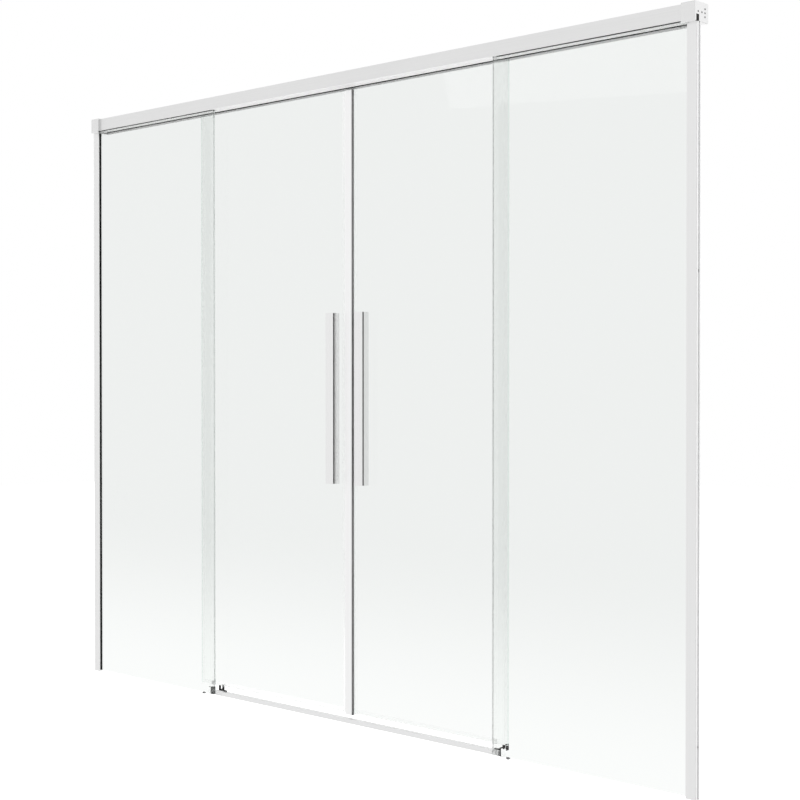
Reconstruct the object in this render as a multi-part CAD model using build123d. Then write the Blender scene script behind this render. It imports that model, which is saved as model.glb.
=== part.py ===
from build123d import *
import os

# A sliding bath screen. Two fixed glass panes stand against the side walls, and two glass
# doors hang on rollers from a header rail and slide apart behind the fixed panes.
# Sizes are in millimetres. X runs along the screen, the room side faces minus Y and Z is up.
# The origin is in the middle of the base.
# Pieces that come in pairs are modelled on the right-hand side and mirrored to the left.

# Overall size
overall_width = 1780.0
overall_height = 1400.0

# Glass
glass_thickness = 5.0
fixed_glass_bottom = 3.0
fixed_glass_entry = 10.0        # into the header rail
door_glass_bottom = 20.0

# Where the panes meet, measured along X
meeting_x = 7.0                 # the doors meet a little to the right of the middle
fixed_pane_width = 446.2        # wall profile to the inner face of a fixed pane's edge seal
right_door_overlap = 23.7       # how far the right-hand door reaches behind its fixed pane
left_door_overlap = 71.2
handle_stop_room = 8.9          # fixed pane to the right-hand handle when its door is open

# Header rail
rail_wall = 1.5
rail_front_height = 28.5
rail_top_drop = 1.5             # top of the brackets to the top of the rail
rear_skirt = 6.0                # how far the rear wall hangs below the front wall
divider_skirt = 2.0             # the same for the wall between the track and the doors
rail_return = 2.5               # flange at the foot of the front wall, towards the glass
track_height = 11.5             # front wall's lower edge to the top of the track
track_lip = 1.2
brush_width = 1.8
brush_height = 2.0

# Gaskets that hold the fixed glass in the rail, and the cover strip between the fixed panes
front_gasket = 2.0
front_gasket_height = 8.5
front_gasket_proud = 1.2
rear_gasket = 3.0
rear_gasket_height = 5.0
cover_height = 6.0
cover_wall = 1.2

# End brackets
bracket_width = 30.0
bracket_height = 35.0
bracket_front_proud = 5.0       # how far a bracket stands in front of the rail
bracket_rear_wall = 1.0
bracket_socket = 12.0           # how far the rail goes into a bracket
bracket_rounding = 0.8
plate_thickness = 2.0
plate_inset = 0.5
plate_hole = 3.5
plate_hole_pitch = 7.0
plate_front_hole = 8.7          # bracket front to the middle of the hole
plate_middle_hole = 20.8
plate_rear_hole = 30.8
plate_notch_start = 2.7
plate_notch_width = 9.0
plate_notch_height = 12.0
bracket_screw_length = 8.0
bracket_screw_recess = 0.8

# Wall profiles
profile_width = 20.0
profile_wall = 1.5
profile_web = 2.0
profile_front_gap = 2.2         # front leg to the face of the glass
profile_rear_gap = 1.0
profile_glass_entry = 10.0
wall_gasket_floor = 2.0
wall_gasket_inset = 0.3
wall_tape_thickness = 2.0
wall_tape_width = 2.5
wall_tape_inset = 0.5
wall_hole = 5.0
wall_hole_height = 93.0
wall_hole_spacing = 837.0

# Clear seals on the glass
seal_wall = 1.3
seal_end_wall = 1.2
fixed_seal_width = 12.6
fixed_seal_front = 2.1
fixed_seal_rear = 1.8
outer_seal_width = 13.2
meeting_seal_width = 6.7
drip_seal_drop = 3.5
drip_seal_height = 13.0
seal_top_gap = 2.2              # rail's rear skirt to the tops of the door seals

# Metal closing profile on the left-hand door
closing_width = 20.0
closing_depth = 12.3
closing_wall = 1.2
closing_bite = 6.0              # how far the glass goes into the profile
closing_rear = 1.5              # how far it stands behind the door glass
closing_clamp_width = 15.0
magnet_width = 5.0
magnet_depth = 5.4
magnet_proud = 1.0
magnet_front = 0.9              # metal left in front of the magnet strip

# Handles
handle_width = 23.2
handle_depth = 20.0
handle_length = 370.0
handle_height = 699.0           # base to the middle of the handle
handle_from_meeting = 32.7
handle_plate = 1.0
handle_inlay = 4.2
handle_inlay_inset = 0.5
handle_rounding = 0.8
handle_screw = 5.0
handle_screw_spacing = 300.0
handle_screw_entry = 8.0
handle_cap_diameter = 12.0
handle_cap_thickness = 2.5
glass_hole = 8.0

# Door hangers, carriages and wheels
hanger_wall = 1.3
hanger_web = 2.0
hanger_height = 12.0
carriage_length = 40.0
carriage_foot = 3.0
carriage_plate = 2.0
carriage_height = 14.0
carriage_from_edge = 60.0
carriage_screw = 3.0
carriage_screw_head = 5.0
carriage_screw_head_height = 1.5
carriage_screw_spacing = 28.0
wheel_diameter = 14.0
wheel_width = 5.0
wheel_groove_depth = 0.7
wheel_groove_margin = 2.0
wheel_room = 1.75               # beside the wheel on the track
axle_diameter = 4.0
axle_collar = 6.5
axle_flange = 0.8
axle_head = 2.0
stop_length = 8.0
stop_height = 10.0

# Threshold strip, blocks and guides
threshold_setback = 20.0        # bracket front to the strip
threshold_depth = 12.0
threshold_height = 9.5
threshold_wall = 1.2
threshold_overlap = 9.2         # how far the strip reaches in front of a fixed pane
threshold_cap = 26.0
end_seal_length = 5.0
pad_length = 5.5
pad_height = 17.5
pad_depth = 7.5
pad_front_proud = 1.0
carrier_length = 8.5
carrier_height = 17.0
carrier_depth = 6.0
guide_length = 6.0
guide_height = 11.5
guide_floor = 2.5
guide_front_leg = 2.0
guide_rear_leg = 2.5
guide_foot = 20.0
guide_overlap = 9.2             # inner edge of a fixed pane to the middle of a guide
guide_foot_depth = 3.1
foot_length = 5.0
foot_inset = 37.2               # inner edge of a fixed pane to its black foot
base_seal_overhang = 1.0

# Clearances
rail_fit = 0.15
running_gap = 0.3
hanger_gap = 0.7
wheel_gap = 0.3                 # under the tread and beside the hub
axle_clearance = 0.05
stop_gap = 1.0

# Layers from the room side to the bath side
track_depth = 2 * wheel_room + wheel_width
hanger_depth = glass_thickness + 2 * hanger_wall
overall_depth = (
    bracket_front_proud + rail_wall + rail_return + front_gasket + glass_thickness + rear_gasket
    + rail_wall + track_depth + rail_wall + hanger_depth + 2 * hanger_gap + rail_wall
    + bracket_rear_wall
)
front = -overall_depth / 2
rail_front = front + bracket_front_proud
pocket_front = rail_front + rail_wall
gasket_front = pocket_front + rail_return
fixed_front = gasket_front + front_gasket
fixed_back = fixed_front + glass_thickness
pocket_back = fixed_back + rear_gasket
track_front = pocket_back + rail_wall
wheel_front = track_front + wheel_room
wheel_back = wheel_front + wheel_width
divider_front = track_front + track_depth
divider_back = divider_front + rail_wall
hanger_front = divider_back + hanger_gap
hanger_back = hanger_front + hanger_depth
door_front = hanger_front + hanger_wall
door_back = door_front + glass_thickness
rail_inner_back = hanger_back + hanger_gap
rail_back = rail_inner_back + rail_wall

# Heights in the header
rail_top = overall_height - rail_top_drop
rail_inner_top = rail_top - rail_wall
rail_bottom = rail_top - rail_front_height
skirt_bottom = rail_bottom - rear_skirt
divider_bottom = rail_bottom - divider_skirt
bracket_bottom = overall_height - bracket_height
track_top = rail_bottom + track_height
hanger_top = track_top - rail_wall
hanger_bottom = hanger_top - hanger_height
door_glass_top = hanger_top - hanger_web
fixed_glass_top = rail_bottom + fixed_glass_entry
seal_top = skirt_bottom - seal_top_gap
wheel_height = track_top + wheel_gap + wheel_diameter / 2
plate_hole_height = overall_height - bracket_height / 2 - plate_inset

# Places along X on the right-hand side
half_width = overall_width / 2
bracket_inner = half_width - bracket_width
plate_face = half_width - plate_thickness
rail_end = bracket_inner + bracket_socket
profile_outer = half_width - wall_tape_thickness
profile_inner = profile_outer - profile_width
fixed_pane_inner = profile_inner - fixed_pane_width
fixed_glass_inner = fixed_pane_inner + seal_end_wall
fixed_glass_outer = profile_inner + profile_glass_entry
channel_front = fixed_front - profile_front_gap
channel_back = fixed_back + profile_rear_gap
profile_front = channel_front - profile_wall
profile_back = channel_back + profile_wall

# Door seals
drip_bottom = door_glass_bottom - drip_seal_drop
drip_top = drip_bottom + drip_seal_height
edge_seal_z = (drip_top + running_gap, seal_top)
seal_y = (door_front - seal_wall, door_back + seal_wall)

# Doors; the left-hand door is laid out in mirrored X, so its meeting line is below zero
right_meeting = meeting_x
left_meeting = -meeting_x
right_door_outer = fixed_pane_inner + right_door_overlap
left_door_outer = fixed_pane_inner + left_door_overlap
closing_half = closing_width / 2
right_seal_face = right_meeting + closing_half + magnet_proud + running_gap
right_glass_inner = right_seal_face + seal_end_wall
left_profile_edge = left_meeting + closing_half
left_glass_inner = left_profile_edge - closing_bite
handle_outer = right_meeting + handle_from_meeting + handle_width
door_travel = fixed_pane_inner - handle_outer - handle_stop_room


def block(x, y, z):
    """A box between two limits along each axis."""
    middle = Pos((x[0] + x[1]) / 2, (y[0] + y[1]) / 2, (z[0] + z[1]) / 2)
    return middle * Box(x[1] - x[0], y[1] - y[0], z[1] - z[0])


def rod(start, direction, diameter, length):
    """A cylinder that starts at a point and runs along a direction."""
    plane = Plane(origin=start, z_dir=direction)
    return extrude(plane * Circle(diameter / 2), amount=length)


def to_left(piece):
    return mirror(piece, about=Plane.YZ)


def keep(piece):
    return piece


def save(name, *pieces):
    """Write one node: a single solid, or several alike in one group."""
    solids = [piece.solid() for piece in pieces]
    shape = solids[0] if len(solids) == 1 else Compound(solids)
    export_step(shape, f"parts/{name}.step")


def save_pair(name, piece):
    """Write a right-hand piece and its left-hand copy as two nodes."""
    save(f"{name}_right", piece)
    save(f"{name}_left", to_left(piece))


def save_both(name, *pieces):
    """Write right-hand pieces and their left-hand copies as one node."""
    save(name, *pieces, *[to_left(piece) for piece in pieces])


# Header

def make_rail():
    x = (-rail_end, rail_end)
    rail = block(x, (rail_front, rail_back), (rail_inner_top, rail_top))
    rail += block(x, (rail_front, pocket_front), (rail_bottom, rail_top))
    rail += block(x, (pocket_back, track_front), (rail_bottom, rail_top))
    rail += block(x, (pocket_back, divider_back), (hanger_top, track_top))
    rail += block(x, (rail_front, gasket_front), (rail_bottom, rail_bottom + rail_wall))
    rail += block(x, (pocket_back, divider_back), (rail_bottom, rail_bottom + rail_wall))
    rail += block(x, (divider_front, divider_back), (divider_bottom, track_top + track_lip))
    rail += block(x, (rail_inner_back, rail_back), (skirt_bottom, rail_top))
    return rail


def make_brush():
    """The black brush under the divider, just in front of the doors."""
    y = (divider_front, divider_front + brush_width)
    return block((-bracket_inner, bracket_inner), y, (divider_bottom - brush_height, divider_bottom))


def make_header_cover():
    """The white channel that closes the glass groove of the rail between the fixed panes."""
    reach = fixed_pane_inner - running_gap
    x = (-reach, reach)
    top = rail_bottom + cover_height
    cover = block(x, (gasket_front, pocket_back), (rail_bottom, top))
    inside_y = (gasket_front + cover_wall, pocket_back - cover_wall)
    return cover - block(x, inside_y, (rail_bottom + cover_wall, top))


def make_front_gasket():
    x = (fixed_pane_inner + fixed_seal_width, bracket_inner)
    bottom = rail_bottom - front_gasket_proud
    return block(x, (gasket_front, fixed_front), (bottom, bottom + front_gasket_height))


def make_rear_gasket():
    x = (fixed_pane_inner + fixed_seal_width, bracket_inner)
    bottom = rail_bottom + running_gap
    return block(x, (fixed_back, pocket_back), (bottom, bottom + rear_gasket_height))


# End brackets

def plate_column():
    """Y and Z of the three holes at the back of an end plate."""
    steps = (-1, 0, 1)
    return [(front + plate_rear_hole, plate_hole_height + step * plate_hole_pitch) for step in steps]


def plate_holes():
    singles = [(front + place, plate_hole_height) for place in (plate_front_hole, plate_middle_hole)]
    return singles + plate_column()


def make_bracket():
    bracket = block((bracket_inner, plate_face), (front, -front), (bracket_bottom, overall_height))
    bracket = fillet(bracket.edges().filter_by(Axis.X), bracket_rounding)
    socket_y = (rail_front - rail_fit, rail_back + rail_fit)
    socket_z = (bracket_bottom, rail_top + rail_fit)
    bracket -= block((bracket_inner, rail_end + rail_fit), socket_y, socket_z)
    slot_y = (fixed_front - running_gap, fixed_back + running_gap)
    slot_z = (bracket_bottom, fixed_glass_top + running_gap)
    bracket -= block((bracket_inner, fixed_glass_outer + running_gap), slot_y, slot_z)
    for hole_y, hole_z in plate_holes():
        bracket -= rod((plate_face, hole_y, hole_z), (-1, 0, 0), plate_hole, bracket_screw_length)
    return bracket


def make_end_plate():
    x = (plate_face, half_width)
    bottom = bracket_bottom + plate_inset
    plate = block(x, (front + plate_inset, -front - plate_inset), (bottom, overall_height - plate_inset))
    for hole_y, hole_z in plate_holes():
        plate -= rod((plate_face, hole_y, hole_z), (1, 0, 0), plate_hole, plate_thickness)
    notch_front = front + plate_notch_start
    notch_z = (bottom, bracket_bottom + plate_notch_height)
    return plate - block(x, (notch_front, notch_front + plate_notch_width), notch_z)


def make_bracket_screws():
    """Screws in the highest and the lowest hole of the rear column."""
    column = plate_column()
    length = plate_thickness - bracket_screw_recess + bracket_screw_length
    head = half_width - bracket_screw_recess
    return [rod((head, y, z), (-1, 0, 0), plate_hole, length) for y, z in (column[0], column[-1])]


# Walls and fixed panes

def make_wall_profile():
    profile = block((profile_inner, profile_outer), (profile_front, profile_back), (0, bracket_bottom))
    web_face = profile_outer - profile_web
    profile -= block((profile_inner, web_face), (channel_front, channel_back), (0, bracket_bottom))
    middle = (profile_front + profile_back) / 2
    for height in (wall_hole_height, wall_hole_height + wall_hole_spacing):
        profile -= rod((web_face, middle, height), (1, 0, 0), wall_hole, profile_web)
    return profile


def make_wall_tapes():
    """Two sealing tapes between a wall profile and the wall."""
    x = (profile_outer, half_width)
    near = profile_front + wall_tape_inset
    far = profile_back - wall_tape_inset
    z = (0, bracket_bottom)
    return [block(x, (near, near + wall_tape_width), z), block(x, (far - wall_tape_width, far), z)]


def make_wall_gasket():
    """The dark rubber channel that holds the fixed glass in its wall profile."""
    x = (profile_inner + wall_gasket_inset, fixed_glass_outer + wall_gasket_floor)
    z = (fixed_glass_bottom, bracket_bottom)
    gasket = block(x, (channel_front, channel_back), z)
    return gasket - block((x[0], fixed_glass_outer), (fixed_front, fixed_back), z)


def make_fixed_glass():
    z = (fixed_glass_bottom, fixed_glass_top)
    return block((fixed_glass_inner, fixed_glass_outer), (fixed_front, fixed_back), z)


def make_fixed_edge_seal():
    """The clear channel on the inner edge of a fixed pane."""
    x = (fixed_pane_inner, fixed_pane_inner + fixed_seal_width)
    y = (fixed_front - fixed_seal_front, fixed_back + fixed_seal_rear)
    z = (fixed_glass_bottom, rail_bottom - running_gap)
    return block(x, y, z) - block((fixed_glass_inner, x[1]), (fixed_front, fixed_back), z)


def make_base_pieces():
    """The black foot under a fixed pane and the clear strip from there to the wall."""
    y = (fixed_front - base_seal_overhang, fixed_back + base_seal_overhang)
    foot_start = fixed_pane_inner + foot_inset
    foot_end = foot_start + foot_length
    z = (0, fixed_glass_bottom)
    return block((foot_start, foot_end), y, z), block((foot_end + running_gap, profile_inner), y, z)


# Threshold strip, blocks and guides

threshold_half_length = fixed_pane_inner + threshold_overlap
threshold_y = (front + threshold_setback, front + threshold_setback + threshold_depth)
pad_y = (threshold_y[0] - pad_front_proud, threshold_y[0] - pad_front_proud + pad_depth)
carrier_y = (fixed_back, fixed_back + carrier_depth)
end_seal_end = threshold_half_length + end_seal_length
pad_end = end_seal_end + pad_length


def make_threshold_strip():
    reach = threshold_half_length - threshold_cap
    strip = block((-reach, reach), threshold_y, (0, threshold_height))
    inside_y = (threshold_y[0] + threshold_wall, threshold_y[1] - threshold_wall)
    inside_z = (threshold_wall, threshold_height - threshold_wall)
    return strip - block((-reach, reach), inside_y, inside_z)


def make_threshold_cap():
    x = (threshold_half_length - threshold_cap, threshold_half_length)
    return block(x, threshold_y, (0, threshold_height))


def make_end_seal():
    x = (threshold_half_length, end_seal_end)
    return block(x, (threshold_y[0], pad_y[1]), (0, threshold_height))


def make_black_pad():
    return block((end_seal_end, pad_end), pad_y, (0, pad_height))


def make_carrier_block():
    """The white block fixed on the back of the glass beside the threshold."""
    return block((pad_end, pad_end + carrier_length), carrier_y, (0, carrier_height))


def make_guide(meeting):
    """The black fork around a door's lower edge, with a foot on the threshold."""
    middle = meeting + fixed_pane_inner + guide_overlap
    x = (middle - guide_length / 2, middle + guide_length / 2)
    gap_y = (seal_y[0] - running_gap, seal_y[1] + running_gap)
    y = (gap_y[0] - guide_front_leg, gap_y[1] + guide_rear_leg)
    z = (threshold_height, threshold_height + guide_height)
    floor_top = threshold_height + guide_floor
    guide = block(x, y, z) - block(x, gap_y, (floor_top, z[1]))
    return guide + block((x[0] - guide_foot, x[0]), (y[0], y[0] + guide_foot_depth), (z[0], floor_top))


# Doors

def screw_heights():
    half = handle_screw_spacing / 2
    return (handle_height - half, handle_height + half)


def handle_x(meeting):
    start = meeting + handle_from_meeting
    return (start, start + handle_width)


def handle_middle(meeting):
    return meeting + handle_from_meeting + handle_width / 2


def make_door_glass(inner, outer, meeting):
    glass = block((inner, outer), (door_front, door_back), (door_glass_bottom, door_glass_top))
    for height in screw_heights():
        glass -= rod((handle_middle(meeting), door_front, height), (0, 1, 0), glass_hole, glass_thickness)
    return glass


# Middle of a carriage's foot behind its upright plate
carriage_screw_y = (hanger_front + carriage_plate + hanger_back) / 2


def carriage_places(inner, outer):
    return {"inner": inner + carriage_from_edge, "outer": outer - carriage_from_edge}


def screw_places(x):
    """The two screws of the carriage at x."""
    return (x - carriage_screw_spacing / 2, x + carriage_screw_spacing / 2)


def hanger_screws(inner, outer):
    return [place for x in carriage_places(inner, outer).values() for place in screw_places(x)]


def make_hanger(inner, outer):
    """The metal channel clamped on the top edge of a door glass."""
    x = (inner, outer)
    hanger = block(x, (hanger_front, hanger_back), (hanger_bottom, hanger_top))
    hanger -= block(x, (door_front, door_back), (hanger_bottom, door_glass_top))
    for place in hanger_screws(inner, outer):
        hanger -= rod((place, carriage_screw_y, hanger_top), (0, 0, -1), carriage_screw, hanger_web)
    return hanger


def make_carriage(x):
    """A foot screwed to the hanger, with an upright plate that holds the axle."""
    span = (x - carriage_length / 2, x + carriage_length / 2)
    foot_top = hanger_top + carriage_foot
    upright_y = (hanger_front, hanger_front + carriage_plate)
    carriage = block(span, (hanger_front, hanger_back), (hanger_top, foot_top))
    carriage += block(span, upright_y, (hanger_top, hanger_top + carriage_height))
    carriage -= rod((x, hanger_front, wheel_height), (0, 1, 0), axle_diameter, carriage_plate)
    for place in screw_places(x):
        carriage -= rod((place, carriage_screw_y, foot_top), (0, 0, -1), carriage_screw, carriage_foot)
    return carriage


def make_carriage_screw(x):
    seat = (x, carriage_screw_y, hanger_top + carriage_foot)
    head = rod(seat, (0, 0, 1), carriage_screw_head, carriage_screw_head_height)
    return head + rod(seat, (0, 0, -1), carriage_screw, carriage_foot + hanger_web)


def make_axle(x):
    """The fixed pin that a wheel turns on, with an end flange, a collar and a head."""
    end = wheel_front - wheel_gap - axle_flange
    collar_start = wheel_back + wheel_gap
    head_start = hanger_front + carriage_plate
    pin = rod((x, end, wheel_height), (0, 1, 0), axle_diameter, head_start - end)
    pin += rod((x, end, wheel_height), (0, 1, 0), axle_collar, axle_flange)
    pin += rod((x, collar_start, wheel_height), (0, 1, 0), axle_collar, hanger_front - collar_start)
    return pin + rod((x, head_start, wheel_height), (0, 1, 0), axle_collar, axle_head)


def make_wheel(x):
    start = (x, wheel_front, wheel_height)
    wheel = rod(start, (0, 1, 0), wheel_diameter, wheel_width)
    groove = rod(start, (0, 1, 0), wheel_diameter - 2 * wheel_groove_margin, wheel_groove_depth)
    groove -= rod(start, (0, 1, 0), axle_diameter + wheel_groove_margin, wheel_groove_depth)
    wheel -= groove
    return wheel - rod(start, (0, 1, 0), axle_diameter + 2 * axle_clearance, wheel_width)


def make_stop(outer_carriage):
    """The rubber block on the track that the outer wheel comes up against."""
    start = outer_carriage + wheel_diameter / 2 + door_travel + stop_gap
    z = (track_top, track_top + stop_height)
    return block((start, start + stop_length), (track_front, divider_front), z)


def edge_channel(x, glass_x, z):
    """A clear channel around one upright edge of a door glass."""
    return block(x, seal_y, z) - block(glass_x, (door_front, door_back), z)


def make_outer_seal(outer):
    start = outer - outer_seal_width
    return edge_channel((start, outer), (start, outer - seal_end_wall), edge_seal_z)


def make_meeting_seal():
    end = right_seal_face + meeting_seal_width
    return edge_channel((right_seal_face, end), (right_glass_inner, end), edge_seal_z)


def make_drip_seal(start, outer):
    """The clear channel on the lower edge of a door glass."""
    x = (start, outer)
    glass_z = (door_glass_bottom, drip_top)
    return block(x, seal_y, (drip_bottom, drip_top)) - block(x, (door_front, door_back), glass_z)


# Closing edge of the left-hand door, in mirrored X

closing_x = (left_meeting - closing_half, left_profile_edge)
closing_y = (door_back + closing_rear - closing_depth, door_back + closing_rear)
closing_z = (drip_bottom, seal_top)
magnet_x = (closing_x[0] - magnet_proud, closing_x[0] - magnet_proud + magnet_width)
magnet_y = (closing_y[0] + magnet_front, closing_y[0] + magnet_front + magnet_depth)


def make_closing_profile():
    profile = block(closing_x, closing_y, closing_z)
    profile -= block((left_glass_inner, left_profile_edge), (door_front, door_back), closing_z)
    profile -= block((closing_x[0], magnet_x[1]), magnet_y, closing_z)
    chamber_x = (magnet_x[1] + closing_wall, left_glass_inner - closing_wall)
    chamber_y = (closing_y[0] + closing_wall, closing_y[1] - closing_wall)
    return profile - block(chamber_x, chamber_y, closing_z)


def make_closing_clamps():
    """Clear strips on both faces of the glass beside the closing profile."""
    x = (left_profile_edge, left_profile_edge + closing_clamp_width)
    return [block(x, y, edge_seal_z) for y in ((seal_y[0], door_front), (door_back, seal_y[1]))]


# Handles

handle_z = (handle_height - handle_length / 2, handle_height + handle_length / 2)
plate_back = door_front - handle_depth + handle_plate
inlay_back = plate_back + handle_inlay


def make_handle_body(meeting):
    body = block(handle_x(meeting), (inlay_back, door_front), handle_z)
    body = fillet(body.edges().filter_by(Axis.Z), handle_rounding)
    for height in screw_heights():
        start = (handle_middle(meeting), door_front, height)
        body -= rod(start, (0, -1, 0), handle_screw, handle_screw_entry)
    return body


def make_handle_inlay(meeting):
    x = handle_x(meeting)
    inlay_x = (x[0] + handle_inlay_inset, x[1] - handle_inlay_inset)
    inlay_z = (handle_z[0] + handle_inlay_inset, handle_z[1] - handle_inlay_inset)
    return block(inlay_x, (plate_back, inlay_back), inlay_z)


def make_handle_plate(meeting):
    return block(handle_x(meeting), (door_front - handle_depth, plate_back), handle_z)


def make_handle_screw(meeting, height):
    """A screw through the glass with a round cap on the bath side."""
    seat = (handle_middle(meeting), door_back, height)
    cap = rod(seat, (0, 1, 0), handle_cap_diameter, handle_cap_thickness)
    return cap + rod(seat, (0, -1, 0), handle_screw, glass_thickness + handle_screw_entry)


def write_frame():
    save("header_rail", make_rail())
    save("header_brush", make_brush())
    save("header_cover", make_header_cover())
    save_both("header_front_gaskets", make_front_gasket())
    save_both("header_rear_gaskets", make_rear_gasket())
    save_pair("end_bracket", make_bracket())
    save_pair("end_plate", make_end_plate())
    save_both("bracket_screws", *make_bracket_screws())
    save_pair("wall_profile", make_wall_profile())
    save_both("wall_tapes", *make_wall_tapes())
    save_pair("wall_gasket", make_wall_gasket())
    save_pair("fixed_glass", make_fixed_glass())
    save_pair("fixed_edge_seal", make_fixed_edge_seal())
    foot, seal = make_base_pieces()
    save_both("black_feet", foot)
    save_both("base_seals", seal)
    save("threshold_strip", make_threshold_strip())
    save_both("threshold_caps", make_threshold_cap())
    save_both("threshold_end_seals", make_end_seal())
    save_both("black_pads", make_black_pad())
    save_both("carrier_blocks", make_carrier_block())


def write_door(side, meeting, inner, drip_start, outer, place):
    """Write the pieces that both doors have; place puts them on their own side."""
    glass_outer = outer - seal_end_wall
    places = carriage_places(inner, glass_outer)
    save(f"{side}_door_glass", place(make_door_glass(inner, glass_outer, meeting)))
    save(f"{side}_hanger", place(make_hanger(inner, glass_outer)))
    screws = [make_carriage_screw(x) for x in hanger_screws(inner, glass_outer)]
    save(f"{side}_carriage_screws", *[place(screw) for screw in screws])
    save(f"{side}_carriages", *[place(make_carriage(x)) for x in places.values()])
    save(f"{side}_axles", *[place(make_axle(x)) for x in places.values()])
    for name, x in places.items():
        save(f"{side}_{name}_wheel", place(make_wheel(x)))
    save(f"{side}_outer_seal", place(make_outer_seal(outer)))
    save(f"{side}_drip_seal", place(make_drip_seal(drip_start, glass_outer)))
    save(f"{side}_handle_body", place(make_handle_body(meeting)))
    save(f"{side}_handle_inlay", place(make_handle_inlay(meeting)))
    save(f"{side}_handle_plate", place(make_handle_plate(meeting)))
    handle_screws = [make_handle_screw(meeting, height) for height in screw_heights()]
    save(f"{side}_handle_screws", *[place(screw) for screw in handle_screws])
    save(f"{side}_door_guide", place(make_guide(meeting)))
    save(f"{side}_track_stop", place(make_stop(places["outer"])))


os.makedirs("parts", exist_ok=True)
write_frame()
write_door("right", right_meeting, right_glass_inner, right_glass_inner, right_door_outer, keep)
write_door("left", left_meeting, left_glass_inner, left_profile_edge, left_door_outer, to_left)
save("right_meeting_seal", make_meeting_seal())
save("left_closing_profile", to_left(make_closing_profile()))
save("left_closing_magnet", to_left(block(magnet_x, magnet_y, closing_z)))
save("left_closing_clamps", *[to_left(clamp) for clamp in make_closing_clamps()])
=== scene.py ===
# %% [markdown]
# # A sliding bath screen
# The measured model of the screen is loaded first. Every piece made here is placed from its
# boxes, in metres, so nothing is fitted by eye. X runs along the screen, the room is on the
# minus Y side and Z is up.

# %% Load the measured model
import math
import bmesh
import bpy
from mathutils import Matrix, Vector


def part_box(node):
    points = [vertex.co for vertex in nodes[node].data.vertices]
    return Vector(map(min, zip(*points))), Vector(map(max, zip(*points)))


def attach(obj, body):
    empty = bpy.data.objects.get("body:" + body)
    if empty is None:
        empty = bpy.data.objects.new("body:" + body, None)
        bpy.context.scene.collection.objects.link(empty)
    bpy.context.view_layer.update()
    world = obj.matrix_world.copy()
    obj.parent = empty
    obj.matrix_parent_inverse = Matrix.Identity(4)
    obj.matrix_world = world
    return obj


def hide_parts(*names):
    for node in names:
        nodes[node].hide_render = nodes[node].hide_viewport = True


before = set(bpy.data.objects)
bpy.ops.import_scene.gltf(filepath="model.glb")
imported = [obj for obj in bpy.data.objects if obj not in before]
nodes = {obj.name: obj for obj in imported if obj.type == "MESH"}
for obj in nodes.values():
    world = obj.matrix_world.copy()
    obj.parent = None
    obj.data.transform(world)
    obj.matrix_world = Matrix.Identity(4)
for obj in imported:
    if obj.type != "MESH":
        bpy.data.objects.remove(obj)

MM = 0.001
SMOOTH_ANGLE = math.radians(35)
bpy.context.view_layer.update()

# %% [markdown]
# ## Helpers
# Operators act on whatever is selected. Each piece therefore starts with nothing selected,
# and is finished by moving its place into its mesh, so that a pattern on Object coordinates
# lies the same way on the whole screen.

# %% Helpers for selecting and finishing pieces
def deselect_all():
    if bpy.context.object and bpy.context.object.mode != "OBJECT":
        bpy.ops.object.mode_set(mode="OBJECT")
    bpy.ops.object.select_all(action="DESELECT")


def make_active(piece):
    deselect_all()
    piece.select_set(True)
    bpy.context.view_layer.objects.active = piece


def settle(piece, name):
    """Name a piece and put its place, turn and size into its mesh."""
    piece.name = name
    make_active(piece)
    bpy.ops.object.transform_apply(location=True, rotation=True, scale=True)
    return piece


def apply_modifier(piece, kind, **values):
    make_active(piece)
    modifier = piece.modifiers.new(kind.title(), kind)
    for key, value in values.items():
        setattr(modifier, key, value)
    bpy.ops.object.modifier_apply(modifier=modifier.name)


def select_faces(piece, keep):
    """Enter edit mode with only the faces selected for which keep(face) is true."""
    make_active(piece)
    bpy.ops.object.mode_set(mode="EDIT")
    bpy.ops.mesh.select_mode(type="FACE")
    bpy.ops.mesh.select_all(action="DESELECT")
    shape = bmesh.from_edit_mesh(piece.data)
    for face in shape.faces:
        face.select_set(keep(face))
    bmesh.update_edit_mesh(piece.data)


def leave_edit_mode():
    bpy.ops.object.mode_set(mode="OBJECT")


def copy_piece(piece, name, move):
    """A copy with its own mesh, moved by a vector."""
    twin = piece.copy()
    twin.data = piece.data.copy()
    bpy.context.collection.objects.link(twin)
    twin.location = move
    return settle(twin, name)


print("helpers ready")

# %% [markdown]
# ## Shared surface effects
# Extruded metal carries fine lines along its length, because the die leaves them. Its faces that look
# down get a paler, non-metal colour, and the faces inside a hollow extrusion can get it too. That colour
# is a white lacquer and partly painted light on faces in shade.
# Moulded plastic and rubber have a shallow grain. Both are node groups that only put out
# colours, masks, values and normals, so that every material can use them with values of its
# own.

# %% Node group for drawn metal
NOTHING_INSIDE = 10.0  # a Y beyond every piece


def add_socket(group, name, direction, kind, default=None):
    socket = group.interface.new_socket(name=name, in_out=direction, socket_type=kind)
    if default is not None:
        socket.default_value = default
    return socket


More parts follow.
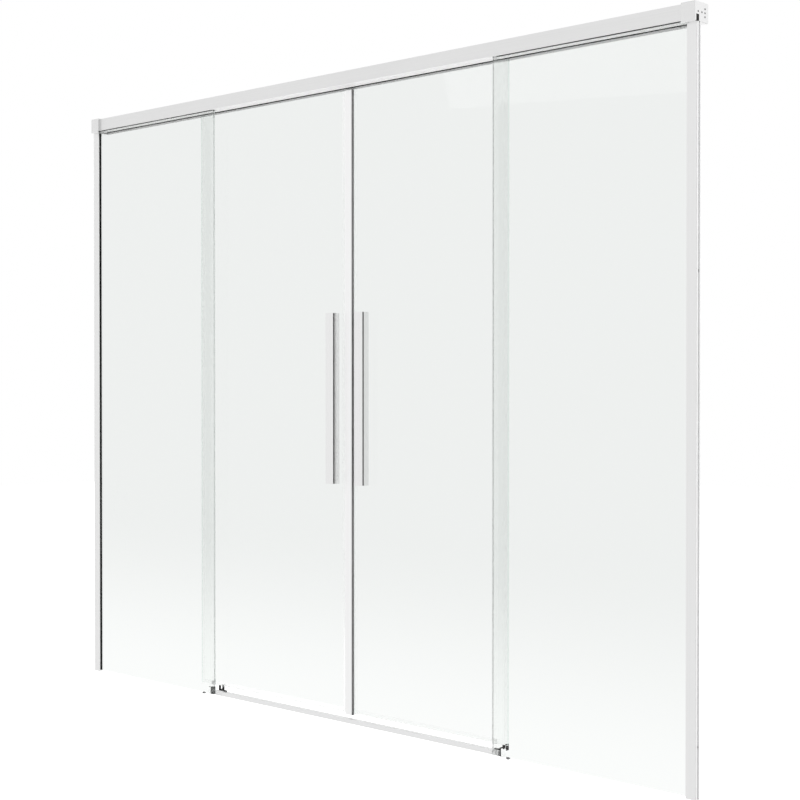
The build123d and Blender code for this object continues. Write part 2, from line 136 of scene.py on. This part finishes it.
def build_drawn_metal():
    group = bpy.data.node_groups.new("drawn_metal", "ShaderNodeTree")
    add_socket(group, "Line scale", "INPUT", "NodeSocketVector", (4.0, 900.0, 900.0))
    add_socket(group, "Line depth", "INPUT", "NodeSocketFloat", 0.05)
    add_socket(group, "Dark", "INPUT", "NodeSocketColor", (0.7, 0.7, 0.7, 1))
    add_socket(group, "Light", "INPUT", "NodeSocketColor", (0.8, 0.8, 0.8, 1))
    add_socket(group, "Lacquer and painted light", "INPUT", "NodeSocketColor", (0.93, 0.93, 0.93, 1))
    add_socket(group, "Inside from", "INPUT", "NodeSocketFloat", NOTHING_INSIDE)
    add_socket(group, "Smooth", "INPUT", "NodeSocketFloat", 0.2)
    add_socket(group, "Rough", "INPUT", "NodeSocketFloat", 0.3)
    add_socket(group, "Color", "OUTPUT", "NodeSocketColor")
    add_socket(group, "Metallic", "OUTPUT", "NodeSocketFloat")
    add_socket(group, "Roughness", "OUTPUT", "NodeSocketFloat")
    add_socket(group, "Normal", "OUTPUT", "NodeSocketVector")
    make, wire = group.nodes.new, group.links.new
    given, out = make("NodeGroupInput"), make("NodeGroupOutput")

    def compare(operation, first, second):
        """A maths node between a socket and another socket or a number."""
        node = make("ShaderNodeMath")
        node.operation = operation
        wire(first, node.inputs[0])
        if isinstance(second, float):
            node.inputs[1].default_value = second
        else:
            wire(second, node.inputs[1])
        return node.outputs[0]

    place = make("ShaderNodeTexCoord")
    stretch = make("ShaderNodeVectorMath")
    stretch.operation = "MULTIPLY"
    lines = make("ShaderNodeTexNoise")
    lines.inputs["Scale"].default_value = 1.0
    lines.inputs["Detail"].default_value = 3.0
    clouds = make("ShaderNodeTexNoise")
    clouds.inputs["Scale"].default_value = 9.0
    clouds.inputs["Detail"].default_value = 4.0
    tint = make("ShaderNodeMix")
    tint.data_type = "RGBA"
    gloss = make("ShaderNodeMix")
    bump = make("ShaderNodeBump")
    bump.inputs["Distance"].default_value = 0.0002
    shape, facing = make("ShaderNodeNewGeometry"), make("ShaderNodeSeparateXYZ")
    where = make("ShaderNodeSeparateXYZ")
    wire(shape.outputs["True Normal"], facing.inputs[0])
    wire(place.outputs["Object"], where.inputs[0])
    down = compare("LESS_THAN", facing.outputs["Z"], -0.5)
    behind_front = compare("GREATER_THAN", where.outputs["Y"], given.outputs["Inside from"])
    not_rear_face = compare("LESS_THAN", facing.outputs["Y"], 0.5)
    not_top_face = compare("LESS_THAN", facing.outputs["Z"], 0.5)
    inside = compare("MULTIPLY", compare("MULTIPLY", behind_front, not_rear_face), not_top_face)
    # Faces that look down and faces inside the rail get a pale non-metal white: a lacquer, and partly
    # painted light on faces in shade.
    lacquer_and_painted_light = compare("MAXIMUM", down, inside)
    lit = make("ShaderNodeMix")
    lit.data_type = "RGBA"
    wire(lacquer_and_painted_light, lit.inputs["Factor"])
    wire(tint.outputs["Result"], lit.inputs["A"])
    wire(given.outputs["Lacquer and painted light"], lit.inputs["B"])
    wire(compare("LESS_THAN", lacquer_and_painted_light, 0.5), out.inputs["Metallic"])
    wire(place.outputs["Object"], stretch.inputs[0])
    wire(given.outputs["Line scale"], stretch.inputs[1])
    wire(stretch.outputs[0], lines.inputs["Vector"])
    wire(place.outputs["Object"], clouds.inputs["Vector"])
    wire(lines.outputs["Fac"], tint.inputs["Factor"])
    wire(given.outputs["Dark"], tint.inputs["A"])
    wire(given.outputs["Light"], tint.inputs["B"])
    wire(clouds.outputs["Fac"], gloss.inputs["Factor"])
    wire(given.outputs["Smooth"], gloss.inputs["A"])
    wire(given.outputs["Rough"], gloss.inputs["B"])
    wire(lines.outputs["Fac"], bump.inputs["Height"])
    wire(given.outputs["Line depth"], bump.inputs["Strength"])
    wire(lit.outputs["Result"], out.inputs["Color"])
    wire(gloss.outputs["Result"], out.inputs["Roughness"])
    wire(bump.outputs["Normal"], out.inputs["Normal"])
    return group


drawn_metal = build_drawn_metal()
print("group:", drawn_metal.name)

# %% Node group for moulded grain
def build_moulded_grain():
    group = bpy.data.node_groups.new("moulded_grain", "ShaderNodeTree")
    add_socket(group, "Grain scale", "INPUT", "NodeSocketFloat", 1400.0)
    add_socket(group, "Grain depth", "INPUT", "NodeSocketFloat", 0.1)
    add_socket(group, "Dark", "INPUT", "NodeSocketColor", (0.02, 0.02, 0.02, 1))
    add_socket(group, "Light", "INPUT", "NodeSocketColor", (0.05, 0.05, 0.05, 1))
    add_socket(group, "Smooth", "INPUT", "NodeSocketFloat", 0.35)
    add_socket(group, "Rough", "INPUT", "NodeSocketFloat", 0.6)
    add_socket(group, "Color", "OUTPUT", "NodeSocketColor")
    add_socket(group, "Roughness", "OUTPUT", "NodeSocketFloat")
    add_socket(group, "Normal", "OUTPUT", "NodeSocketVector")
    make, wire = group.nodes.new, group.links.new
    given, out = make("NodeGroupInput"), make("NodeGroupOutput")
    place = make("ShaderNodeTexCoord")
    grain = make("ShaderNodeTexNoise")
    grain.inputs["Detail"].default_value = 4.0
    patches = make("ShaderNodeTexNoise")
    patches.inputs["Scale"].default_value = 25.0
    tint = make("ShaderNodeMix")
    tint.data_type = "RGBA"
    gloss = make("ShaderNodeMix")
    bump = make("ShaderNodeBump")
    bump.inputs["Distance"].default_value = 0.0003
    wire(place.outputs["Object"], grain.inputs["Vector"])
    wire(given.outputs["Grain scale"], grain.inputs["Scale"])
    wire(place.outputs["Object"], patches.inputs["Vector"])
    wire(patches.outputs["Fac"], tint.inputs["Factor"])
    wire(given.outputs["Dark"], tint.inputs["A"])
    wire(given.outputs["Light"], tint.inputs["B"])
    wire(grain.outputs["Fac"], gloss.inputs["Factor"])
    wire(given.outputs["Smooth"], gloss.inputs["A"])
    wire(given.outputs["Rough"], gloss.inputs["B"])
    wire(grain.outputs["Fac"], bump.inputs["Height"])
    wire(given.outputs["Grain depth"], bump.inputs["Strength"])
    wire(tint.outputs["Result"], out.inputs["Color"])
    wire(gloss.outputs["Result"], out.inputs["Roughness"])
    wire(bump.outputs["Normal"], out.inputs["Normal"])
    return group


moulded_grain = build_moulded_grain()
print("group:", moulded_grain.name)

# %% [markdown]
# ## Materials
# A material places one of the groups, gives it values and feeds the result to its own
# Principled shader. What is the same all over, such as Metallic or Transmission, is set on
# the shader itself.

# %% Helpers that build a material around a group and mix shaders by kind of ray
def finish_from_group(name, group, values, **shader_values):
    material = bpy.data.materials.new(name)
    material.use_nodes = True
    tree = material.node_tree
    shader = tree.nodes["Principled BSDF"]
    effect = tree.nodes.new("ShaderNodeGroup")
    effect.node_tree = group
    for key, value in values.items():
        effect.inputs[key].default_value = value
    for key, value in shader_values.items():
        shader.inputs[key.replace("_", " ")].default_value = value
    tree.links.new(effect.outputs["Color"], shader.inputs["Base Color"])
    tree.links.new(effect.outputs["Roughness"], shader.inputs["Roughness"])
    tree.links.new(effect.outputs["Normal"], shader.inputs["Normal"])
    return material


def grey(level):
    return (level, level, level, 1.0)


def mix_by_rays(tree, ray_names, plain, special, target=None):
    """Use one shader for the named kinds of rays and another for the rest."""
    path = tree.nodes.new("ShaderNodeLightPath")
    mix = tree.nodes.new("ShaderNodeMixShader")
    chosen = path.outputs[ray_names[0]]
    for ray_name in ray_names[1:]:
        either = tree.nodes.new("ShaderNodeMath")
        either.operation = "MAXIMUM"
        tree.links.new(chosen, either.inputs[0])
        tree.links.new(path.outputs[ray_name], either.inputs[1])
        chosen = either.outputs[0]
    tree.links.new(chosen, mix.inputs["Fac"])
    tree.links.new(plain, mix.inputs[1])
    tree.links.new(special, mix.inputs[2])
    if target:
        tree.links.new(mix.outputs[0], target)
    return mix.outputs[0]


print("material helpers ready")

# %% [markdown]
# The rail, the wall profiles, the threshold and the closing profile are bright anodised extrusions.
# Their lines run along X on the level ones and along Z on the upright ones. The rail's underside and the
# faces behind its front wall look white in the photograph. They are given a white lacquer, which is a
# guess, because a white plastic lining would look alike. The white is partly painted light: it lifts
# faces that lie in shade under and inside the rail.

# %% Metals
ALONG_X = (4.0, 900.0, 900.0)
ALONG_Z = (900.0, 900.0, 4.0)


def bright_metal(name, lines, dark, light, smooth, rough):
    values = {"Line scale": lines, "Dark": grey(dark), "Light": grey(light)}
    values.update({"Smooth": smooth, "Rough": rough})
    return finish_from_group(name, drawn_metal, values, Metallic=1.0)


def paint_light_and_lacquer_inside(material, start):
    """Lacquer a metal white where it faces down, and inside, behind the given Y; the white is partly
    painted light on faces in shade.
    """
    tree = material.node_tree
    shader = tree.nodes["Principled BSDF"]
    effect = next(node for node in tree.nodes if node.type == "GROUP")
    effect.inputs["Inside from"].default_value = start
    effect.inputs["Lacquer and painted light"].default_value = grey(0.95)
    tree.links.new(effect.outputs["Metallic"], shader.inputs["Metallic"])


level_extrusion = bright_metal("level_extrusion", ALONG_X, 0.74, 0.80, 0.28, 0.38)
paint_light_and_lacquer_inside(level_extrusion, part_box("header_rail")[0][1] + 1 * MM)
threshold_finish = bright_metal("threshold_finish", ALONG_X, 0.79, 0.85, 0.28, 0.38)
upright_extrusion = bright_metal("upright_extrusion", ALONG_Z, 0.78, 0.84, 0.25, 0.35)
closing_finish = bright_metal("closing_finish", ALONG_Z, 0.90, 0.95, 0.28, 0.38)
bracket_finish = bright_metal("bracket_finish", ALONG_X, 0.73, 0.79, 0.18, 0.28)
plate_finish = bright_metal("plate_finish", ALONG_Z, 0.84, 0.90, 0.22, 0.32)
handle_finish = bright_metal("handle_finish", ALONG_Z, 0.80, 0.86, 0.2, 0.3)
steel_finish = bright_metal("steel_finish", ALONG_X, 0.50, 0.62, 0.22, 0.35)
dark_steel = bright_metal("dark_steel", ALONG_X, 0.03, 0.06, 0.4, 0.55)
print("metals: 9")

# %% [markdown]
# Rubber and plastic share the moulded grain. The black pieces are nearly black, and the
# blocks beside the threshold are white.

# %% Rubber and plastic
def moulded(name, dark, light, smooth, rough, grain=1400.0, depth=0.1, shine=0.5):
    values = {"Dark": grey(dark), "Light": grey(light), "Smooth": smooth, "Rough": rough}
    values["Grain scale"] = grain
    values["Grain depth"] = depth
    return finish_from_group(name, moulded_grain, values, Specular_IOR_Level=shine)


black_rubber = moulded("black_rubber", 0.012, 0.025, 0.5, 0.75, shine=0.15)
soft_rubber = moulded("soft_rubber", 0.10, 0.16, 0.5, 0.75, shine=0.15)
magnet_strip = moulded("magnet_strip", 0.13, 0.18, 0.4, 0.6, shine=0.2)
black_plastic = moulded("black_plastic", 0.015, 0.03, 0.3, 0.5, shine=0.2)
white_plastic = moulded("white_plastic", 0.91, 0.95, 0.35, 0.5)
tape_foam = moulded("tape_foam", 0.77, 0.83, 0.6, 0.8, shine=0.2)
grey_plastic = moulded("grey_plastic", 0.70, 0.76, 0.35, 0.5)
brush_pile = moulded("brush_pile", 0.004, 0.012, 0.7, 0.95, grain=3000.0, depth=0.5, shine=0.05)
print("rubber and plastic: 8")

# %% [markdown]
# Glass is clear and slightly green, and greener where the eye looks into a cut edge. The edge faces look
# along X or Z, so a mask from the normal picks them out. The photographed panes are paler towards the
# foot. Real glass is one tint all over, so the fade here copies the picture and isn't a property of the
# glass: it is painted light, a paler tint towards the foot. Soft light passes straight through a pane,
# so that what stands behind it isn't left in the dark.

# %% Glass
def build_glass_tint():
    group = bpy.data.node_groups.new("glass_tint", "ShaderNodeTree")
    add_socket(group, "Face", "INPUT", "NodeSocketColor", (0.855, 0.872, 0.862, 1))
    # The paler tint low on the pane is painted light, lighter towards the foot.
    add_socket(group, "Painted light at foot", "INPUT", "NodeSocketColor", (0.965, 0.98, 0.97, 1))
    add_socket(group, "Fade height", "INPUT", "NodeSocketFloat", 0.42)
    add_socket(group, "Cut edge", "INPUT", "NodeSocketColor", (0.80, 0.90, 0.86, 1))
    add_socket(group, "Color", "OUTPUT", "NodeSocketColor")
    add_socket(group, "Roughness", "OUTPUT", "NodeSocketFloat")
    make, wire = group.nodes.new, group.links.new
    given, out = make("NodeGroupInput"), make("NodeGroupOutput")
    shape, split = make("ShaderNodeNewGeometry"), make("ShaderNodeSeparateXYZ")
    height, fade = make("ShaderNodeSeparateXYZ"), make("ShaderNodeMapRange")
    fade.interpolation_type = "SMOOTHSTEP"
    body_tint = make("ShaderNodeMix")
    body_tint.data_type = "RGBA"
    level = make("ShaderNodeMath")
    level.operation = "ABSOLUTE"
    tint = make("ShaderNodeMix")
    tint.data_type = "RGBA"
    place, smears = make("ShaderNodeTexCoord"), make("ShaderNodeTexNoise")
    smears.inputs["Scale"].default_value = 3.0
    film = make("ShaderNodeMapRange")
    film.inputs["To Max"].default_value = 0.015
    wire(shape.outputs["True Normal"], split.inputs[0])
    wire(split.outputs["Y"], level.inputs[0])
    wire(level.outputs[0], tint.inputs["Factor"])
    wire(given.outputs["Cut edge"], tint.inputs["A"])
    wire(place.outputs["Object"], height.inputs[0])
    wire(height.outputs["Z"], fade.inputs["Value"])
    wire(given.outputs["Fade height"], fade.inputs["From Max"])
    wire(fade.outputs["Result"], body_tint.inputs["Factor"])
    wire(given.outputs["Painted light at foot"], body_tint.inputs["A"])
    wire(given.outputs["Face"], body_tint.inputs["B"])
    wire(body_tint.outputs["Result"], tint.inputs["B"])
    wire(place.outputs["Object"], smears.inputs["Vector"])
    wire(smears.outputs["Fac"], film.inputs["Value"])
    wire(tint.outputs["Result"], out.inputs["Color"])
    wire(film.outputs["Result"], out.inputs["Roughness"])
    return group


glass_tint = build_glass_tint()
PANE_IOR = 1.2  # real glass is about 1.5; the photographed panes mirror almost nothing


def build_pane_glass():
    material = bpy.data.materials.new("pane_glass")
    material.use_nodes = True
    tree = material.node_tree
    shader = tree.nodes["Principled BSDF"]
    effect = tree.nodes.new("ShaderNodeGroup")
    effect.node_tree = glass_tint
    shader.inputs["Transmission Weight"].default_value = 1.0
    shader.inputs["IOR"].default_value = PANE_IOR
    tree.links.new(effect.outputs["Color"], shader.inputs["Base Color"])
    tree.links.new(effect.outputs["Roughness"], shader.inputs["Roughness"])
    clear = tree.nodes.new("ShaderNodeBsdfTransparent")
    mix_by_rays(tree, ("Is Shadow Ray", "Is Diffuse Ray"), shader.outputs[0], clear.outputs[0],
                tree.nodes["Material Output"].inputs["Surface"])
    return material


pane_glass = build_pane_glass()
print("glass ready")

# %% [markdown]
# The seals on the glass are soft clear plastic. They look milky, because light scatters in
# them, so they are a pale plastic that lets part of the background through.

# %% Milky seals
MILKY = {"Dark": (0.80, 0.83, 0.81, 1), "Light": (0.90, 0.92, 0.91, 1), "Smooth": 0.15, "Rough": 0.3}
clear_seal = finish_from_group("clear_seal", moulded_grain, MILKY, Alpha=0.03)
print("seals ready")

# %% [markdown]
# ## Finishes on the measured pieces
# The measured pieces already have the right shapes, so they keep their meshes and only get
# a finish. The few that gain from finer shapes are replaced further on.

# %% Which finish each piece gets
finishes = {
    "header_rail": level_extrusion,
    "header_cover": white_plastic,
    "threshold_strip": threshold_finish,
    "threshold_caps": grey_plastic,
    "threshold_end_seals": clear_seal,
    "header_front_gaskets": black_rubber,
    "header_rear_gaskets": clear_seal,
    "bracket_screws": dark_steel,
    "wall_tapes": tape_foam,
    "black_feet": soft_rubber,
    "black_pads": black_rubber,
    "base_seals": clear_seal,
    "left_closing_profile": closing_finish,
    "left_closing_magnet": magnet_strip,
    "left_closing_clamps": clear_seal,
    "right_meeting_seal": clear_seal,
}
for side in ("left", "right"):
    finishes.update({
        f"end_bracket_{side}": bracket_finish,
        f"end_plate_{side}": plate_finish,
        f"wall_profile_{side}": upright_extrusion,
        f"wall_gasket_{side}": black_rubber,
        f"fixed_glass_{side}": pane_glass,
        f"fixed_edge_seal_{side}": clear_seal,
        f"{side}_door_glass": pane_glass,
        f"{side}_hanger": threshold_finish,
        f"{side}_carriages": steel_finish,
        f"{side}_carriage_screws": steel_finish,
        f"{side}_axles": steel_finish,
        f"{side}_inner_wheel": grey_plastic,
        f"{side}_outer_wheel": grey_plastic,
        f"{side}_outer_seal": clear_seal,
        f"{side}_drip_seal": clear_seal,
        f"{side}_handle_inlay": black_plastic,
        f"{side}_handle_plate": handle_finish,
        f"{side}_door_guide": black_plastic,
        f"{side}_track_stop": black_rubber,
    })
for name, finish in finishes.items():
    node = nodes[name]
    for slot in node.material_slots:
        slot.material = finish
print("finished nodes:", len(finishes))

# %% [markdown]
# ## Header brush
# A pile brush under the rail keeps spray in. Its fibres stand in tufts in a channel-shaped
# holder. One tuft is modelled as a tapered block and copied along the rail.

# %% Brush holder and tufts
BRUSH_PITCH = 3 * MM
TUFT_WIDTH = 2.8 * MM
TUFT_TAPER = (0.8, 0.7, 1)
HOLDER_HEIGHT = 0.8 * MM
HOLDER_WALL = 0.25 * MM


def add_block(low, high, name):
    """A block between two corners, ready to be shaped further."""
    deselect_all()
    bpy.ops.mesh.primitive_cube_add(size=1, location=(low + high) / 2)
    piece = bpy.context.object
    piece.scale = high - low
    return settle(piece, name)


low, high = (Vector(corner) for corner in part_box("header_brush"))
holder = add_block(Vector((low.x, low.y, high.z - HOLDER_HEIGHT)), high, "brush_holder")
select_faces(holder, lambda face: face.normal.z < -0.5)
bpy.ops.mesh.inset(thickness=HOLDER_WALL)
bpy.ops.transform.translate(value=(0, 0, HOLDER_HEIGHT / 2))
leave_edit_mode()

tuft_high = Vector((low.x + TUFT_WIDTH, high.y - HOLDER_WALL, high.z - HOLDER_HEIGHT / 2))
tufts = add_block(Vector((low.x, low.y + HOLDER_WALL, low.z)), tuft_high, "brush_tufts")
select_faces(tufts, lambda face: face.normal.z < -0.5)
bpy.ops.transform.resize(value=TUFT_TAPER)
leave_edit_mode()
tuft_count = int((high.x - low.x) / BRUSH_PITCH)
apply_modifier(tufts, "ARRAY", count=tuft_count, use_relative_offset=False,
               use_constant_offset=True, constant_offset_displace=(BRUSH_PITCH, 0, 0))


def dress(piece, finish, body):
    """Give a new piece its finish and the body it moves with."""
    piece.data.materials.append(finish)
    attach(piece, body)


dress(holder, brush_pile, "frame")
dress(tufts, brush_pile, "frame")
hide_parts("header_brush")
print("tufts:", tuft_count, "faces:", len(tufts.data.polygons))

# %% [markdown]
# ## Carrier blocks
# A white block stands on each fixed pane beside the threshold. Its edges are rounded, and a
# black screw head sits in a recess on top. The block is kept a hair off the glass, because
# two faces in one plane there would render black.

# %% Carrier blocks and their screw heads
GLASS_CLEARANCE = 0.08 * MM
CARRIER_ROUNDING = 0.6 * MM
RECESS_RIM = 1.4 * MM
RECESS_DEPTH = 0.8 * MM
SCREW_RADIUS = 1.5 * MM
SCREW_HEAD = 1.6 * MM
SOCKET_SHARE = 0.4  # of the head's radius and height
HEAD_BEVEL = 0.15 * MM

pads_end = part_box("black_pads")[1][0]
low, high = (Vector(corner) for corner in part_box("carrier_blocks"))
low = Vector((pads_end, low.y + GLASS_CLEARANCE, low.z))
right_carrier = add_block(low, high, "right_carrier")
select_faces(right_carrier, lambda face: face.normal.z > 0.5)
bpy.ops.mesh.inset(thickness=RECESS_RIM)
bpy.ops.transform.translate(value=(0, 0, -RECESS_DEPTH))
leave_edit_mode()
apply_modifier(right_carrier, "BEVEL", width=CARRIER_ROUNDING, segments=3, limit_method="ANGLE")
make_active(right_carrier)
bpy.ops.object.shade_smooth_by_angle(angle=SMOOTH_ANGLE)

head_height = high.z - RECESS_DEPTH + SCREW_HEAD / 2
head_middle = Vector(((low.x + high.x) / 2, (low.y + high.y) / 2, head_height))
deselect_all()
bpy.ops.mesh.primitive_cylinder_add(vertices=32, radius=SCREW_RADIUS, depth=SCREW_HEAD,
                                    location=head_middle)
right_head = settle(bpy.context.object, "right_carrier_screw")
select_faces(right_head, lambda face: face.normal.z > 0.5)
bpy.ops.mesh.inset(thickness=SCREW_RADIUS * SOCKET_SHARE)
bpy.ops.transform.translate(value=(0, 0, -SCREW_HEAD * SOCKET_SHARE))
leave_edit_mode()
apply_modifier(right_head, "BEVEL", width=HEAD_BEVEL, segments=2, limit_method="ANGLE")

mirror_shift = Vector((-(low.x + high.x), 0, 0))
left_carrier = copy_piece(right_carrier, "left_carrier", mirror_shift)
left_head = copy_piece(right_head, "left_carrier_screw", mirror_shift)
for carrier, head in ((right_carrier, right_head), (left_carrier, left_head)):
    dress(carrier, white_plastic, "frame")
    dress(head, black_plastic, "frame")
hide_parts("carrier_blocks")
print("carriers: 2, faces:", len(right_carrier.data.polygons))

# %% [markdown]
# ## Plugs in the end plates
# The notch in each end plate is closed by a black rubber plug with a dished face.

# %% Rubber plugs
NOTCH_START = 2.2 * MM
NOTCH_WIDTH = 9.0 * MM
NOTCH_HEIGHT = 11.5 * MM
PLUG_INSET = 0.15 * MM
PLUG_RIM = 1.2 * MM
PLUG_DISH = 0.4 * MM
PLUG_BEVEL = 0.2 * MM

low, high = (Vector(corner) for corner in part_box("end_plate_right"))
plug_margin = Vector((PLUG_INSET,) * 3)
notch_end = low.y + NOTCH_START + NOTCH_WIDTH
plug_low = Vector((low.x, low.y + NOTCH_START, low.z)) + plug_margin
plug_high = Vector((high.x, notch_end, low.z + NOTCH_HEIGHT)) - plug_margin
right_plug = add_block(plug_low, plug_high, "right_plate_plug")
select_faces(right_plug, lambda face: abs(face.normal.x) > 0.5)
bpy.ops.mesh.inset(thickness=PLUG_RIM, use_individual=True)
bpy.ops.transform.resize(value=(1 - PLUG_DISH / (plug_high.x - plug_low.x), 1, 1))
leave_edit_mode()
apply_modifier(right_plug, "BEVEL", width=PLUG_BEVEL, segments=2, limit_method="ANGLE")
left_plug = copy_piece(right_plug, "left_plate_plug", Vector((-(low.x + high.x), 0, 0)))
for plug in (right_plug, left_plug):
    dress(plug, black_rubber, "frame")
print("plugs: 2")

# %% [markdown]
# ## Handle bodies
# Each handle body is screwed to its door glass. Like the white blocks it is kept a hair off
# the glass, so that it shows as metal from the bath side too. Its upright edges are rounded.

# %% Handle bodies
HANDLE_ROUNDING = 0.8 * MM


def make_handle_body(side):
    low, high = (Vector(corner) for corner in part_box(f"{side}_handle_body"))
    high.y -= GLASS_CLEARANCE
    body = add_block(low, high, f"{side}_handle_grip")
    make_active(body)
    bpy.ops.object.mode_set(mode="EDIT")
    bpy.ops.mesh.select_mode(type="EDGE")
    bpy.ops.mesh.select_all(action="DESELECT")
    shape = bmesh.from_edit_mesh(body.data)
    for edge in shape.edges:
        lower, upper = edge.verts
        edge.select_set(abs(upper.co.z - lower.co.z) > HANDLE_ROUNDING)
    bmesh.update_edit_mesh(body.data)
    bpy.ops.mesh.bevel(offset=HANDLE_ROUNDING, segments=4, affect="EDGES")
    leave_edit_mode()
    bpy.ops.object.shade_smooth_by_angle(angle=SMOOTH_ANGLE)
    return body


for side in ("left", "right"):
    body = make_handle_body(side)
    dress(body, handle_finish, f"door_{side}")
    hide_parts(f"{side}_handle_body")
    print(body.name, "faces:", len(body.data.polygons))

# %% [markdown]
# ## Caps behind the handles
# On the bath side each handle screw ends in a domed cap with a round socket. A cylinder is
# inset and pushed in for the socket, and its rim is bevelled round for the dome.

# %% Domed caps
CAP_RIM = 0.35
SOCKET_DEPTH = 0.55
CAP_BEVEL = 0.6 * MM


def make_cap(name, middle, radius, thickness):
    deselect_all()
    bpy.ops.mesh.primitive_cylinder_add(vertices=48, radius=radius, depth=thickness, location=middle,
                                        rotation=(math.radians(-90), 0, 0))
    cap = settle(bpy.context.object, name)
    select_faces(cap, lambda face: face.normal.y > 0.9)
    bpy.ops.mesh.inset(thickness=radius * CAP_RIM)
    bpy.ops.mesh.extrude_region_move(TRANSFORM_OT_translate={"value": (0, -thickness * SOCKET_DEPTH, 0)})
    leave_edit_mode()
    apply_modifier(cap, "BEVEL", width=CAP_BEVEL, segments=4, limit_method="ANGLE")
    make_active(cap)
    bpy.ops.object.shade_smooth_by_angle(angle=SMOOTH_ANGLE)
    return cap


cap_count = 0
for side in ("left", "right"):
    low, high = (Vector(corner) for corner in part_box(f"{side}_handle_screws"))
    radius = (high.x - low.x) / 2
    thickness = high.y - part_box(f"{side}_door_glass")[1][1]
    middle = Vector(((low.x + high.x) / 2, high.y - thickness / 2, low.z + radius))
    lower = make_cap(f"{side}_lower_cap", middle, radius, thickness)
    upper = copy_piece(lower, f"{side}_upper_cap", Vector((0, 0, high.z - low.z - 2 * radius)))
    for cap in (lower, upper):
        dress(cap, handle_finish, f"door_{side}")
        cap_count += 1
    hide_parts(f"{side}_handle_screws")
print("caps:", cap_count)

# %% [markdown]
# ## Floor, light and camera
# The product stands in a white studio. The floor and the world are white to the camera, and
# also in reflections and through glass, while the lamps stay at a plain level. The floor
# still takes shadows where the camera looks straight at it.

# %% White studio
world = bpy.data.worlds.new("studio")
bpy.context.scene.world = world
world.use_nodes = True
world_tree = world.node_tree
soft = world_tree.nodes["Background"]
soft.inputs["Color"].default_value = grey(1.0)
soft.inputs["Strength"].default_value = 0.8
bright = world_tree.nodes.new("ShaderNodeBackground")
bright.inputs["Color"].default_value = grey(1.0)
bright.inputs["Strength"].default_value = 1.0
SEEN_RAYS = ("Is Camera Ray", "Is Glossy Ray", "Is Transmission Ray")
mix_by_rays(world_tree, SEEN_RAYS, soft.outputs[0], bright.outputs[0],
            world_tree.nodes["World Output"].inputs["Surface"])

FLOOR_SIZE = 14.0
FLOOR_DROP = 0.5 * MM
deselect_all()
bpy.ops.mesh.primitive_plane_add(size=FLOOR_SIZE, location=(0, 0, -FLOOR_DROP))
floor = bpy.context.object
floor.name = "floor"
floor_paint = bpy.data.materials.new("floor_paint")
floor_paint.use_nodes = True
floor_tree = floor_paint.node_tree
floor_shader = floor_tree.nodes["Principled BSDF"]
floor_shader.inputs["Base Color"].default_value = grey(0.9)
floor_shader.inputs["Roughness"].default_value = 1.0
floor_shader.inputs["Specular IOR Level"].default_value = 0.0
glow = floor_tree.nodes.new("ShaderNodeEmission")
glow.inputs["Strength"].default_value = 0.6
glowing_floor = floor_tree.nodes.new("ShaderNodeAddShader")
floor_tree.links.new(floor_shader.outputs[0], glowing_floor.inputs[0])
floor_tree.links.new(glow.outputs[0], glowing_floor.inputs[1])
even_white = floor_tree.nodes.new("ShaderNodeEmission")
even_white.inputs["Strength"].default_value = 1.0
seen_floor = mix_by_rays(floor_tree, ("Is Camera Ray",), floor_shader.outputs[0],
                         glowing_floor.outputs[0])
mix_by_rays(floor_tree, ("Is Glossy Ray", "Is Transmission Ray"), seen_floor, even_white.outputs[0],
            floor_tree.nodes["Material Output"].inputs["Surface"])
floor.data.materials.append(floor_paint)
print("studio ready")

# %% Soft lamps
def add_lamp(name, place, target, size, power):
    light = bpy.data.lights.new(name, "AREA")
    light.size = size
    light.energy = power
    lamp = bpy.data.objects.new(name, light)
    lamp.location = place
    lamp.rotation_euler = (Vector(target) - Vector(place)).to_track_quat("-Z", "Y").to_euler()
    lamp.visible_glossy = False
    bpy.context.collection.objects.link(lamp)


SCREEN_MIDDLE = (0, 0, 0.7)
add_lamp("room_light", (-1.5, -3.5, 3.2), SCREEN_MIDDLE, 2.5, 60)
add_lamp("side_light", (3.8, -0.6, 2.2), SCREEN_MIDDLE, 1.8, 35)
add_lamp("bath_light", (0.5, 3.5, 3.0), SCREEN_MIDDLE, 2.5, 50)
print("lamps: 3")

# %% [markdown]
# The camera stands in the room to the right of the screen, a little above half its height.
# Its place and lens come from fitting the corners and edges of the model to the photograph.

# %% Camera
CAMERA_PLACE = (2.3387, -2.3173, 0.7350)
CAMERA_TILT = math.radians(89.405)
CAMERA_TURN = math.radians(43.168)
LENS_MM = 68.74
camera_data = bpy.data.cameras.new("camera")
camera_data.sensor_width = 36.0
camera_data.lens = LENS_MM
camera_data.shift_y = -0.0029
camera = bpy.data.objects.new("camera", camera_data)
camera.location = CAMERA_PLACE
camera.rotation_euler = (CAMERA_TILT, 0, CAMERA_TURN)
bpy.context.collection.objects.link(camera)
bpy.context.scene.camera = camera
bpy.context.scene.view_settings.view_transform = "Standard"
print("camera at", CAMERA_PLACE)

deselect_all()
